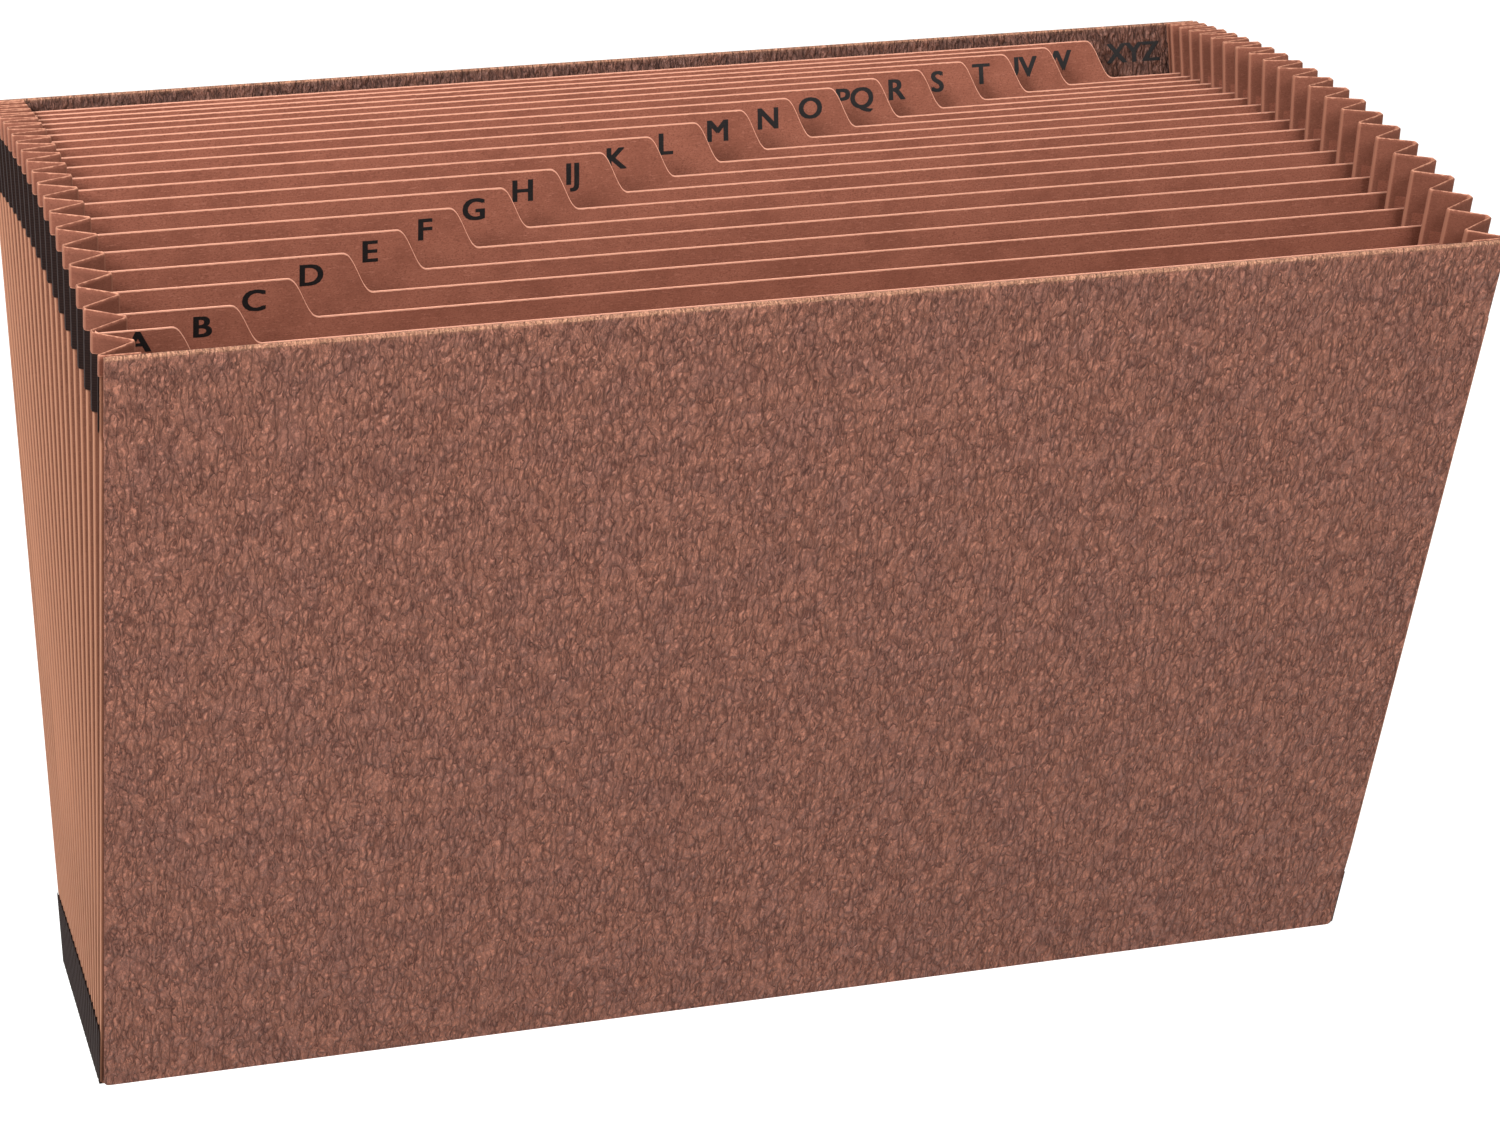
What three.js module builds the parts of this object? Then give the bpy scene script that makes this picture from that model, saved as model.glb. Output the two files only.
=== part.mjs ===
// An open-top expanding file with 21 pockets, standing fanned open.
// Units are millimetres and +Z is up. The front cover faces -Y and the pockets are counted from front to back.
// The origin is on the surface that the file stands on, under the middle of the file.
import * as THREE from "three";

// Driving dimensions of the fan
const index_names = "a b c d e f g h ij k l m n o pq r s t uv w".split(" ");
const base_pitch = 3.4;
const front_lean = -15.5;
const back_lean = 18;
const fan_bow = 3;
const fan_skew = -6;

// Covers: a leather-grained sheet whose top edge is folded over to the inside
const cover_width = 379;
const cover_height = 257;
const cover_sheet = 0.7;
const cover_hem_depth = 25;
const cover_hem_gap = 0.1;
const cover_corner_radius = 1.6;
const cover_corner_steps = 3;
const cover_fold_steps = 4;

// Gussets: pleated paper, with the top edge folded out
const gusset_sheet = 0.3;
const gusset_panel = 10.2;
const gusset_drop = 0.5;
const gusset_hem_depth = 6;
const gusset_hem_gap = 0.1;
const gusset_glue_flap = 10;
const inner_fold_half_width = 0.65;
const cover_fold_width = 0.5;
const cover_flap_gap = 0.05;
const fold_overhang = 1.2;
const mitre_gap = 0.22;

// Dividers: one folded sheet in each outer fold
const divider_sheet = 0.3;
const divider_set_down = 3;
const divider_first_rise = 2;
const tab_drop = 12;
const tab_left_margin = 27.9;
const tab_right_margin = 30.96;
const tab_slope_angle = 70;
const tab_top_radius = 4;
const tab_foot_radius = 3;
const tab_arc_steps = 3;
const flap_length = 8;
const flap_fold_gap = 0.1;
const flap_left_drop = 2.7;
const flap_right_rise = 2;
const flap_corner_cut = 0.8;

// Reinforcing tape on the outside of the pleats
const tape_sheet = 0.15;
const top_tape_height = 17.5;
const corner_tape_height = 21;
const corner_tape_run = 21;

// Clearance between pieces that are glued face to face
const glue_gap = 0.25;

const pocket_count = index_names.length + 1;
const half_sheet = gusset_sheet / 2;
const hem_in = half_sheet + gusset_hem_gap;
const hem_out = hem_in + gusset_sheet;
const tape_in = half_sheet + glue_gap;
const tape_out = tape_in + tape_sheet;

// Outer folds stand this far in from the outside of the tape, at the sides and at the bottom
const fold_inset = tape_out;
const file_half_width = cover_width / 2 + fold_overhang;

// Where the pleats meet a divider: in front of its sheet, and behind the flap that is folded back
const fold_front = divider_sheet / 2 + glue_gap + half_sheet;
const flap_offset = divider_sheet + flap_fold_gap;
const fold_back = flap_offset + divider_sheet / 2 + glue_gap + half_sheet;

// The dividers stand between their side folds, a little below the covers.
// The steps in their top edges are spread evenly between the two margins.
const divider_height = cover_height - divider_set_down;
const divider_fold_edge = fold_inset + half_sheet + glue_gap + divider_sheet / 2;
const divider_half_width = file_half_width - divider_fold_edge;
const tab_spread = 2 * divider_half_width - tab_left_margin - tab_right_margin;
const tab_pitch = tab_spread / (index_names.length - 1);

// Where the pleats meet a cover: a glued flap, then a fold back
const glue_flap_offset = half_sheet + cover_flap_gap;
const cover_face = glue_flap_offset - hem_out - glue_gap;
const cover_fold_back = glue_flap_offset + cover_fold_width;

const gusset_top = cover_height - gusset_drop;
const tape_top = gusset_top - gusset_hem_depth - glue_gap;
const tape_foot = tape_top - top_tape_height;

// Heights at which the twisted panels are measured again, the same for gussets and dividers
const fan_levels = [gusset_top / 3, (2 * gusset_top) / 3];
const radians = (degrees) => (degrees * Math.PI) / 180;

// The lean of leaf k, from the front cover (0) to the back cover (pocket_count)
function lean(k) {
  const u = k / pocket_count;
  const bow = fan_bow * 4 * u * (1 - u);
  const skew = fan_skew * u * (1 - u) * (1 - 2 * u);
  return radians(front_lean + (back_lean - front_lean) * u + bow + skew);
}

// A point of leaf k at height s along the leaf: how far back it is, and how high
function leafPoint(k, s) {
  const middle = (base_pitch * pocket_count) / 2;
  return [base_pitch * k - middle + s * Math.sin(lean(k)), s * Math.cos(lean(k))];
}

// The same between two leaves, for the inner folds and the flaps
function fanPoint(k, s) {
  const below = Math.floor(k);
  const share = k - below;
  const front = leafPoint(below, s);
  if (share === 0) return front;
  const back = leafPoint(below + 1, s);
  return [front[0] + (back[0] - front[0]) * share, front[1] + (back[1] - front[1]) * share];
}

// How deep the inner fold between leaves k - 1 and k lies, so that each panel keeps its width
function pleatDepth(k, s) {
  const half_pitch = (fanPoint(k, s)[0] - fanPoint(k - 1, s)[0]) / 2;
  const run = half_pitch - fold_back - inner_fold_half_width;
  return Math.sqrt(gusset_panel ** 2 - run ** 2);
}

// Stations of the pleats. Each gives, at height s, [place from front to back, inset from outside, leaf].
function station(k, offset, inset) {
  return (s) => [fanPoint(k, s)[0] + offset, inset(s), k];
}

const at_outer_fold = () => fold_inset;
const at_glue_edge = () => fold_inset + gusset_glue_flap;

function innerFold(k) {
  const inset = (s) => fold_inset + pleatDepth(k, s);
  return [
    station(k - 0.5, -inner_fold_half_width, inset),
    station(k - 0.5, inner_fold_half_width, inset),
  ];
}

// The pleats between the two covers, as the tapes follow them
function pleatStations() {
  const stations = [station(0, glue_flap_offset, at_outer_fold), station(0, cover_fold_back, at_outer_fold)];
  for (let k = 1; k <= pocket_count; k += 1) {
    stations.push(...innerFold(k));
    if (k < pocket_count) {
      stations.push(station(k, -fold_front, at_outer_fold), station(k, fold_back, at_outer_fold));
    }
  }
  stations.push(station(pocket_count, -cover_fold_back, at_outer_fold));
  stations.push(station(pocket_count, -glue_flap_offset, at_outer_fold));
  return stations;
}

// The whole gusset strip: the pleats, and the flaps glued inside the covers
function gussetStations() {
  return [
    station(0, glue_flap_offset, at_glue_edge),
    ...pleatStations(),
    station(pocket_count, -glue_flap_offset, at_glue_edge),
  ];
}

// The place of station j at height s, moved square to the sheet by offset and mitred at the folds
function offsetPoint(stations, j, s, offset) {
  const here = stations[j](s);
  const normals = [];
  for (const i of [j - 1, j]) {
    if (i < 0 || i + 1 >= stations.length) continue;
    const a = stations[i](s);
    const b = stations[i + 1](s);
    const length = Math.hypot(b[0] - a[0], b[1] - a[1]);
    normals.push([(b[1] - a[1]) / length, (a[0] - b[0]) / length]);
  }
  const first = normals[0];
  const last = normals[normals.length - 1];
  const scale = offset / (1 + first[0] * last[0] + first[1] * last[1]);
  return [here[0] + (first[0] + last[0]) * scale, here[1] + (first[1] + last[1]) * scale, here[2]];
}

// A closed mesh, with its faces turned outward
function closedGeometry(points, faces) {
  let volume = 0;
  for (const [a, b, c] of faces) {
    const [p, q, r] = [points[a], points[b], points[c]];
    volume += p[0] * (q[1] * r[2] - q[2] * r[1]);
    volume += p[1] * (q[2] * r[0] - q[0] * r[2]);
    volume += p[2] * (q[0] * r[1] - q[1] * r[0]);
  }
  const turned = volume < 0 ? faces.map(([a, b, c]) => [a, c, b]) : faces;
  const geometry = new THREE.BufferGeometry();
  geometry.setAttribute("position", new THREE.Float32BufferAttribute(points.flat(), 3));
  geometry.setIndex(turned.flat());
  geometry.computeVertexNormals();
  return geometry;
}

// A sheet swept along its stations. Each corner of its section is a function of the station's number.
// The outline is the same section drawn flat, and closes the two ends.
function foldedSheet(count, corners, outline) {
  const points = [];
  for (let j = 0; j < count; j += 1) {
    for (const corner of corners) points.push(corner(j));
  }
  const around = corners.length;
  const faces = [];
  for (let j = 0; j + 1 < count; j += 1) {
    for (let i = 0; i < around; i += 1) {
      const next = (i + 1) % around;
      const quad = [j * around + i, (j + 1) * around + i, (j + 1) * around + next, j * around + next];
      faces.push(...splitQuad(points, quad));
    }
  }
  const contour = outline.map(([a, b]) => new THREE.Vector2(a, b));
  const clockwise = THREE.ShapeUtils.isClockWise(contour);
  for (const triangle of THREE.ShapeUtils.triangulateShape(contour, [])) {
    const corner_points = triangle.map((i) => contour[i]);
    const turned = THREE.ShapeUtils.isClockWise(corner_points) !== clockwise;
    const [a, b, c] = turned ? [triangle[0], triangle[2], triangle[1]] : triangle;
    const last = (count - 1) * around;
    faces.push([a, b, c]);
    faces.push([last + a, last + c, last + b]);
  }
  return closedGeometry(points, faces);
}

// Both faces of a twisted sheet are split along the same diagonal, from outside and low to inside and high
function splitQuad(points, [a, b, c, d]) {
  const outward = (i, j) => Math.abs(points[i][0]) - Math.abs(points[j][0]);
  const upward = (i, j) => points[i][2] - points[j][2];
  const use_ac = outward(a, b) * upward(d, a) > 0;
  return use_ac ? [[a, b, c], [a, c, d]] : [[a, b, d], [b, c, d]];
}

// Places on the left (-1) or right (1) side of the file, and on its bottom
function sidePoint(side, [back, inset, leaf], s) {
  return [side * (file_half_width - inset), back, fanPoint(leaf, s)[1]];
}

function bottomPoint([back, inset, leaf], x) {
  return [x, back, fanPoint(leaf, inset)[1]];
}

// Heights that divide a long face into even steps
function steps(from, to, count) {
  return Array.from({ length: count + 1 }, (_, i) => from + ((to - from) * i) / count);
}

// A side gusset: one pleated strip whose top is folded out and down as a hem
function sideGusset(side) {
  const stations = gussetStations();
  const hem_foot = gusset_top - gusset_hem_depth;
  const hem_under = gusset_top - gusset_sheet;
  const at = (offset, s) => (j) => sidePoint(side, offsetPoint(stations, j, s, offset), s);
  const foot = (offset) => (j) => {
    const s = offsetPoint(stations, j, fold_inset, offset)[1] + mitre_gap;
    return at(offset, s)(j);
  };
  const heights = [corner_tape_height, ...fan_levels, tape_foot];
  const inner = [...heights, gusset_top].map((s) => [-half_sheet, s]);
  const hem = [[hem_out, gusset_top], [hem_out, hem_foot], [hem_in, hem_foot], [hem_in, hem_under]];
  const outer = [...heights, hem_under].reverse().map((s) => [half_sheet, s]);
  const section = [...inner, ...hem, ...outer];
  const corners = [foot(-half_sheet), ...section.map(([offset, s]) => at(offset, s)), foot(half_sheet)];
  const outline = [[-half_sheet, 0], ...section, [half_sheet, 0]];
  return foldedSheet(stations.length, corners, outline);
}

// The bottom gusset: the same pleats lying under the pockets, cut to the mitre at both ends
function bottomGusset() {
  const stations = gussetStations();
  const corner = (offset, side) => (j) => {
    const place = offsetPoint(stations, j, fold_inset, offset);
    const inset = place[1];
    const back = place[0] + fanPoint(place[2], inset)[0] - fanPoint(place[2], fold_inset)[0];
    return bottomPoint([back, inset, place[2]], side * (file_half_width - inset - mitre_gap));
  };
  const corners = [];
  const outline = [];
  for (const [offset, side] of [[-half_sheet, -1], [-half_sheet, 1], [half_sheet, 1], [half_sheet, -1]]) {
    corners.push(corner(offset, side));
    outline.push([offset, side]);
  }
  return foldedSheet(stations.length, corners, outline);
}

// The tape under the hem: it follows the pleats on their outside
function topTape(side) {
  const stations = pleatStations();
  const outline = [[tape_in, tape_foot], [tape_in, tape_top], [tape_out, tape_top], [tape_out, tape_foot]];
  const corners = outline.map(([offset, s]) => (j) => {
    return sidePoint(side, offsetPoint(stations, j, s, offset), s);
  });
  return foldedSheet(stations.length, corners, outline);
}

// The tape over a bottom corner: up the side pleats, round the mitre and along the bottom pleats
function cornerTape(side) {
  const stations = pleatStations();
  const up = (offset) => (j) => {
    return sidePoint(side, offsetPoint(stations, j, corner_tape_height, offset), corner_tape_height);
  };
  const onBottom = (offset, run) => (j) => {
    const place = offsetPoint(stations, j, fold_inset, offset);
    const inset = place[1];
    const back = place[0] + fanPoint(place[2], inset)[0] - fanPoint(place[2], fold_inset)[0];
    return bottomPoint([back, inset, place[2]], side * (file_half_width - Math.max(run, inset)));
  };
  const corners = [
    up(tape_in), onBottom(tape_in, 0), onBottom(tape_in, corner_tape_run),
    onBottom(tape_out, corner_tape_run), onBottom(tape_out, 0), up(tape_out),
  ];
  const outline = [
    [tape_in, corner_tape_height], [tape_in, tape_in], [corner_tape_run, tape_in],
    [corner_tape_run, 0], [0, 0], [0, corner_tape_height],
  ];
  return foldedSheet(stations.length, corners, outline);
}

// The step in a divider's top edge, as [distance from its foot, height above its foot]
function tabStep() {
  const slope = radians(tab_slope_angle);
  const arc_drop = (tab_top_radius + tab_foot_radius) * (1 - Math.cos(slope));
  const straight = (tab_drop - arc_drop) / Math.sin(slope);
  const points = [];
  for (const angle of steps(0, slope, tab_arc_steps)) {
    points.push([-tab_foot_radius * Math.sin(angle), tab_foot_radius * (1 - Math.cos(angle))]);
  }
  const [foot_end] = points[tab_arc_steps];
  const shoulder_x = foot_end - straight * Math.cos(slope) - tab_top_radius * Math.sin(slope);
  for (const angle of steps(slope, 0, tab_arc_steps)) {
    const x = shoulder_x + tab_top_radius * Math.sin(angle);
    points.push([x, tab_drop - tab_top_radius * (1 - Math.cos(angle))]);
  }
  return points.reverse();
}

// The end of a divider's flap, beside the gusset panel that it is glued to
function flapEnd(k, s) {
  const outer = [fanPoint(k, s)[0] + fold_back, fold_inset];
  const inner = [fanPoint(k + 0.5, s)[0] - inner_fold_half_width, fold_inset + pleatDepth(k + 1, s)];
  const length = Math.hypot(inner[0] - outer[0], inner[1] - outer[1]);
  const along = [(inner[0] - outer[0]) / length, (inner[1] - outer[1]) / length];
  const reach = flap_length + half_sheet + glue_gap;
  const away = half_sheet + glue_gap + divider_sheet / 2;
  const place = [outer[0] + along[0] * reach - along[1] * away, outer[1] + along[1] * reach + along[0] * away];
  return [place[0], place[1], k + (0.5 * reach) / length];
}

// Divider k: one sheet with a stepped top edge, and both side edges folded back as flaps
function divider(k) {
  const top = divider_height + (k === 1 ? divider_first_rise : 0);
  const low = top - tab_drop;
  const foot = fold_inset + half_sheet + glue_gap;
  const tab_foot = tab_left_margin - divider_half_width + tab_pitch * (k - 1);
  const left_flap_top = top - flap_left_drop;
  const right_flap_top = low + flap_right_rise;
  const flap = (side, flap_top) => ({
    at: (s) => {
      const [back, inset, leaf] = flapEnd(k, s);
      return [back, side * (file_half_width - inset), leaf];
    },
    foot: fold_inset + flap_length + flap_corner_cut,
    top: flap_top,
  });
  const edge = (x, offset, edge_top) => ({
    at: (s) => [fanPoint(k, s)[0] + offset, x, k],
    foot,
    top: edge_top,
  });
  const profile = [
    flap(-1, left_flap_top),
    edge(-divider_half_width, flap_offset, left_flap_top),
    edge(-divider_half_width, 0, top),
    ...tabStep().map(([x, height]) => edge(tab_foot + x, 0, low + height)),
    edge(divider_half_width, 0, low),
    edge(divider_half_width, flap_offset, right_flap_top),
    flap(1, right_flap_top),
  ];
  const stations = profile.map((piece) => piece.at);
  const corner = (offset, height) => (j) => {
    const s = height(profile[j]);
    const [back, x, leaf] = offsetPoint(stations, j, s, offset);
    return [x, back, fanPoint(leaf, s)[1]];
  };
  const half = divider_sheet / 2;
  const heights = [(piece) => piece.foot, ...fan_levels.map((s) => () => s), (piece) => piece.top];
  const corners = [
    ...heights.map((height) => corner(-half, height)),
    ...heights.map((height) => corner(half, height)).reverse(),
  ];
  const marks = [0, ...fan_levels, top];
  const outline = [...marks.map((s) => [-half, s]), ...marks.map((s) => [half, s]).reverse()];
  return foldedSheet(profile.length, corners, outline);
}

// A cover: facing is -1 for the front cover and 1 for the back cover
function cover(k, facing) {
  const outer = 2 * cover_sheet + cover_hem_gap;
  const turn = outer / 2;
  const fold_centre = cover_height - turn;
  const hem_foot = cover_height - cover_hem_depth;
  const tilt = lean(k);
  const rest = (outer - cover_face) * Math.abs(Math.tan(tilt));
  const outline = [[outer, rest], [outer, fold_centre]];
  for (const angle of steps(0, Math.PI, cover_fold_steps).slice(1, -1)) {
    outline.push([turn + turn * Math.cos(angle), fold_centre + turn * Math.sin(angle)]);
  }
  outline.push([0, fold_centre], [0, hem_foot], [cover_sheet, hem_foot], [cover_sheet, fold_centre]);
  outline.push([outer - cover_sheet, fold_centre], [outer - cover_sheet, rest]);
  const half = cover_width / 2;
  const right = [];
  for (const angle of steps(0, Math.PI / 2, cover_corner_steps)) {
    const x = half - cover_corner_radius * (1 - Math.sin(angle));
    right.push([x, cover_corner_radius * (1 - Math.cos(angle))]);
  }
  const left = right.map(([x, rise]) => [-x, rise]).reverse();
  const across = [...left, ...right];
  const [base_back] = fanPoint(k, 0);
  const corners = outline.map(([depth, s], i) => (j) => {
    const [x, rise] = across[j];
    const at_foot = i === 0 || i === outline.length - 1;
    const height = at_foot ? s + rise : s;
    const along = facing * (depth - cover_face);
    return [x, base_back + height * Math.sin(tilt) + along * Math.cos(tilt),
      height * Math.cos(tilt) - along * Math.sin(tilt)];
  });
  return foldedSheet(across.length, corners, outline);
}

// Materials
const leather_brown = new THREE.MeshStandardMaterial({ color: 0x8b6252, roughness: 0.6, metalness: 0 });
const paper_brown = new THREE.MeshStandardMaterial({ color: 0xa56450, roughness: 0.9, metalness: 0 });
const gusset_brown = new THREE.MeshStandardMaterial({ color: 0xbe8264, roughness: 0.9, metalness: 0 });
const tape_dark = new THREE.MeshStandardMaterial({ color: 0x322828, roughness: 0.8, metalness: 0 });

const file = new THREE.Group();

function add(name, geometry, material) {
  const mesh = new THREE.Mesh(geometry, material);
  mesh.name = name;
  file.add(mesh);
}

add("front_cover", cover(0, -1), leather_brown);
add("back_cover", cover(pocket_count, 1), leather_brown);
index_names.forEach((name, i) => add(`divider_${name}`, divider(i + 1), paper_brown));
for (const [word, side] of [["left", -1], ["right", 1]]) {
  add(`${word}_gusset`, sideGusset(side), gusset_brown);
  add(`${word}_top_tape`, topTape(side), tape_dark);
  add(`${word}_corner_tape`, cornerTape(side), tape_dark);
}
add("bottom_gusset", bottomGusset(), gusset_brown);

// The leaves lean unevenly, so the finished file is moved until its origin is under its middle
const bounds = new THREE.Box3().setFromObject(file);
file.position.y = -(bounds.min.y + bounds.max.y) / 2;

export default file;
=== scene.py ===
# %% [markdown]
# # An expanding file, drawn on its CAD frame
#
# The object is an open-top index file of red-brown paper: two leather-grained covers, twenty
# index sheets between them, and pleated paper at the sides and under the pockets. The imported CAD
# model fixes every size and place. This script only makes the visible pieces on top of it, so the
# first step loads that model and keeps its parts by name.

# %% Load the frame
import math

import bmesh
import bpy
from mathutils import Matrix, Vector
from mathutils.bvhtree import BVHTree


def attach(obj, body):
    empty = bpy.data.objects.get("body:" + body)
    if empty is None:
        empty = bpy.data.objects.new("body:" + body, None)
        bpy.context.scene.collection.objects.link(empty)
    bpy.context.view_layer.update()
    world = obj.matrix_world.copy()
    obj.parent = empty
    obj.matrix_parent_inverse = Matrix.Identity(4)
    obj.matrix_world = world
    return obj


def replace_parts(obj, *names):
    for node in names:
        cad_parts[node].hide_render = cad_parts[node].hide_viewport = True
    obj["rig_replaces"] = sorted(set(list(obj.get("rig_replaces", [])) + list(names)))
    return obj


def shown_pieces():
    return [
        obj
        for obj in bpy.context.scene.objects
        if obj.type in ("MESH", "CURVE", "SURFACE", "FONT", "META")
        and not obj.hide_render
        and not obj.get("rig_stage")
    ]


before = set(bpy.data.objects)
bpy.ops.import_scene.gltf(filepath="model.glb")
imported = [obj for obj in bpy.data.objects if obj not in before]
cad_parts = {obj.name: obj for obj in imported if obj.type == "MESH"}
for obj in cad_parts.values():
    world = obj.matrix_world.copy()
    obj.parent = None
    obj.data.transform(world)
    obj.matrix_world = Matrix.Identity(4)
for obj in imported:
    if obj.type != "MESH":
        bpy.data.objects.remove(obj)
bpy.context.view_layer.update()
print("CAD nodes:", len(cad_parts))

# %% [markdown]
# ## Camera
#
# A camera is placed by the point it looks at, its direction and its distance. Here those numbers
# were solved from the corners of the covers and the tops of the pleats, so the picture lines up
# with the photograph. The lens is given in pixels of a picture 1500 wide and turned into
# Blender's millimetres.

# %% Place the camera
PICTURE_WIDTH = 1500
LENS_PIXELS = 4101.4
AZIMUTH, ELEVATION, ROLL = -17.296, 24.029, 1.403
DISTANCE = 1.10305
LOOK_AT = Vector((-0.016181, -0.091035, 0.165219))


def place_camera():
    """A camera at DISTANCE from LOOK_AT, turned by the three angles."""
    azimuth, elevation, roll = (math.radians(a) for a in (AZIMUTH, ELEVATION, ROLL))
    back = Vector((
        math.sin(azimuth) * math.cos(elevation),
        -math.cos(azimuth) * math.cos(elevation),
        math.sin(elevation),
    ))
    level = (-back).cross(Vector((0, 0, 1))).normalized()
    upright = level.cross(-back)
    right = math.cos(roll) * level + math.sin(roll) * upright
    up = -math.sin(roll) * level + math.cos(roll) * upright
    data = bpy.data.cameras.new("camera")
    data.sensor_width = 36
    data.lens = LENS_PIXELS / PICTURE_WIDTH * data.sensor_width
    camera = bpy.data.objects.new("camera", data)
    axes = Matrix((right, up, back)).transposed().to_4x4()
    camera.matrix_world = Matrix.Translation(LOOK_AT + DISTANCE * back) @ axes
    bpy.context.scene.collection.objects.link(camera)
    bpy.context.scene.camera = camera
    return camera


camera = place_camera()
bpy.context.scene.view_settings.view_transform = "Standard"
print("Lens:", round(camera.data.lens, 1), "mm")

# %% [markdown]
# ## Small helpers for node trees
#
# Every material and every Geometry Nodes tree is built from the same three moves: add a node,
# give a socket a value, and join two sockets. Writing those moves once keeps the later cells
# short enough to read as a recipe.

# %% Node helpers
MM = 0.001


def put(tree, kind, **settings):
    """A new node, with its settings."""
    node = tree.nodes.new(kind)
    for name, value in settings.items():
        setattr(node, name, value)
    return node


def feed(tree, socket, value):
    """Joins a socket to another one, or gives it a plain value."""
    if isinstance(value, bpy.types.NodeSocket):
        tree.links.new(value, socket)
    else:
        socket.default_value = value


def calc(tree, operation, *values, clamp=False):
    """A Math node as one word, such as MULTIPLY."""
    node = put(tree, "ShaderNodeMath", operation=operation, use_clamp=clamp)
    for socket, value in zip(node.inputs, values):
        feed(tree, socket, value)
    return node.outputs[0]


def ramp(tree, value, low, high, to_low=0.0, to_high=1.0, curve="SMOOTHSTEP"):
    """A Map Range node: value goes from low..high to to_low..to_high."""
    node = put(tree, "ShaderNodeMapRange", interpolation_type=curve)
    for name, given in zip(("Value", "From Min", "From Max", "To Min", "To Max"),
                           (value, low, high, to_low, to_high)):
        feed(tree, node.inputs[name], given)
    return node.outputs["Result"]


def mix_colors(tree, share, first, second, blend="MIX"):
    """A Mix node for two colours."""
    node = put(tree, "ShaderNodeMix", data_type="RGBA", blend_type=blend)
    feed(tree, node.inputs["Factor"], share)
    feed(tree, node.inputs[6], first)
    feed(tree, node.inputs[7], second)
    return node.outputs[2]


def srgb(red, green, blue):
    """A colour as seen on a screen, 0 to 255, as the linear colour that Blender uses."""
    def one(level):
        level /= 255
        return level / 12.92 if level <= 0.04045 else ((level + 0.055) / 1.055) ** 2.4
    return (one(red), one(green), one(blue), 1.0)


print("Helpers ready, for example the paper's colour:", [round(c, 3) for c in srgb(165, 100, 80)])

# %% [markdown]
# ## Light and floor
#
# The photograph is a plain studio picture on white. A pale floor catches a soft shadow, a wide
# lamp stands near on the left, and a weaker one fills from the front. The white of the background
# is given only to camera and mirror rays, through Light Path, so that it adds no light to the
# file itself.

# %% Light the studio
def seen_directly(tree):
    """1 for rays that show the background: from the camera, in a mirror or through glass."""
    path = put(tree, "ShaderNodeLightPath")
    seen = calc(tree, "MAXIMUM", path.outputs["Is Camera Ray"], path.outputs["Is Glossy Ray"])
    return calc(tree, "MAXIMUM", seen, path.outputs["Is Transmission Ray"])


def make_world(low, high):
    """Light that grows from low at the horizon to high overhead, and a white that only shows."""
    world = bpy.data.worlds.new("studio")
    world.use_nodes = True
    tree = world.node_tree
    tree.nodes.clear()
    direction = put(tree, "ShaderNodeSeparateXYZ")
    feed(tree, direction.inputs[0], put(tree, "ShaderNodeTexCoord").outputs["Generated"])
    light = put(tree, "ShaderNodeBackground")
    light.inputs["Color"].default_value = (1.0, 0.985, 0.97, 1)
    growing = ramp(tree, direction.outputs["Z"], -0.1, 0.8, low, high)
    feed(tree, light.inputs["Strength"], growing)
    white = put(tree, "ShaderNodeBackground")
    white.inputs["Color"].default_value = (1, 1, 1, 1)
    both = put(tree, "ShaderNodeMixShader")
    feed(tree, both.inputs["Fac"], seen_directly(tree))
    feed(tree, both.inputs[1], light.outputs[0])
    feed(tree, both.inputs[2], white.outputs[0])
    out = put(tree, "ShaderNodeOutputWorld")
    feed(tree, out.inputs["Surface"], both.outputs[0])
    bpy.context.scene.world = world


def make_lamp(name, place, aim, size, power):
    """A round lamp that faces aim; size in metres, power in watts."""
    data = bpy.data.lights.new(name, "AREA")
    data.shape = "DISK"
    data.size = size
    data.energy = power
    lamp = bpy.data.objects.new(name, data)
    lamp.location = place
    direction = Vector(aim) - Vector(place)
    lamp.rotation_mode = "QUATERNION"
    lamp.rotation_quaternion = direction.to_track_quat("-Z", "Y")
    bpy.context.scene.collection.objects.link(lamp)


make_world(0.22, 0.6)
make_lamp("key_lamp", (-1.0, -0.6, 1.05), (0, 0, 0.25), 0.5, 20)
make_lamp("fill_lamp", (0.2, -0.85, 0.8), (0, -0.05, 0.25), 0.4, 5.6)

# %% Lay the floor
FLOOR_TONE, FLOOR_GLOW = 0.45, 0.85


def make_floor(half_size):
    """A pale floor that takes a soft shadow and shows white to the camera."""
    mesh = bpy.data.meshes.new("floor")
    corners = [(-half_size, -half_size, 0), (half_size, -half_size, 0),
               (half_size, half_size, 0), (-half_size, half_size, 0)]
    mesh.from_pydata(corners, [], [(0, 1, 2, 3)])
    floor = bpy.data.objects.new("floor", mesh)
    bpy.context.scene.collection.objects.link(floor)
    material = bpy.data.materials.new("white_paper_floor")
    material.use_nodes = True
    tree = material.node_tree
    tree.nodes.clear()
    plain = put(tree, "ShaderNodeBsdfDiffuse")
    plain.inputs["Color"].default_value = (FLOOR_TONE, FLOOR_TONE, FLOOR_TONE, 1)
    glow = put(tree, "ShaderNodeEmission")
    glow.inputs["Color"].default_value = (1, 1, 1, 1)
    feed(tree, glow.inputs["Strength"],
         calc(tree, "MULTIPLY", seen_directly(tree), FLOOR_GLOW))
    both = put(tree, "ShaderNodeAddShader")
    feed(tree, both.inputs[0], plain.outputs[0])
    feed(tree, both.inputs[1], glow.outputs[0])
    out = put(tree, "ShaderNodeOutputMaterial")
    feed(tree, out.inputs["Surface"], both.outputs[0])
    mesh.materials.append(material)
    floor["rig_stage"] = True
    return floor


floor = make_floor(6)
print("Floor:", floor.dimensions[:2])
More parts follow.
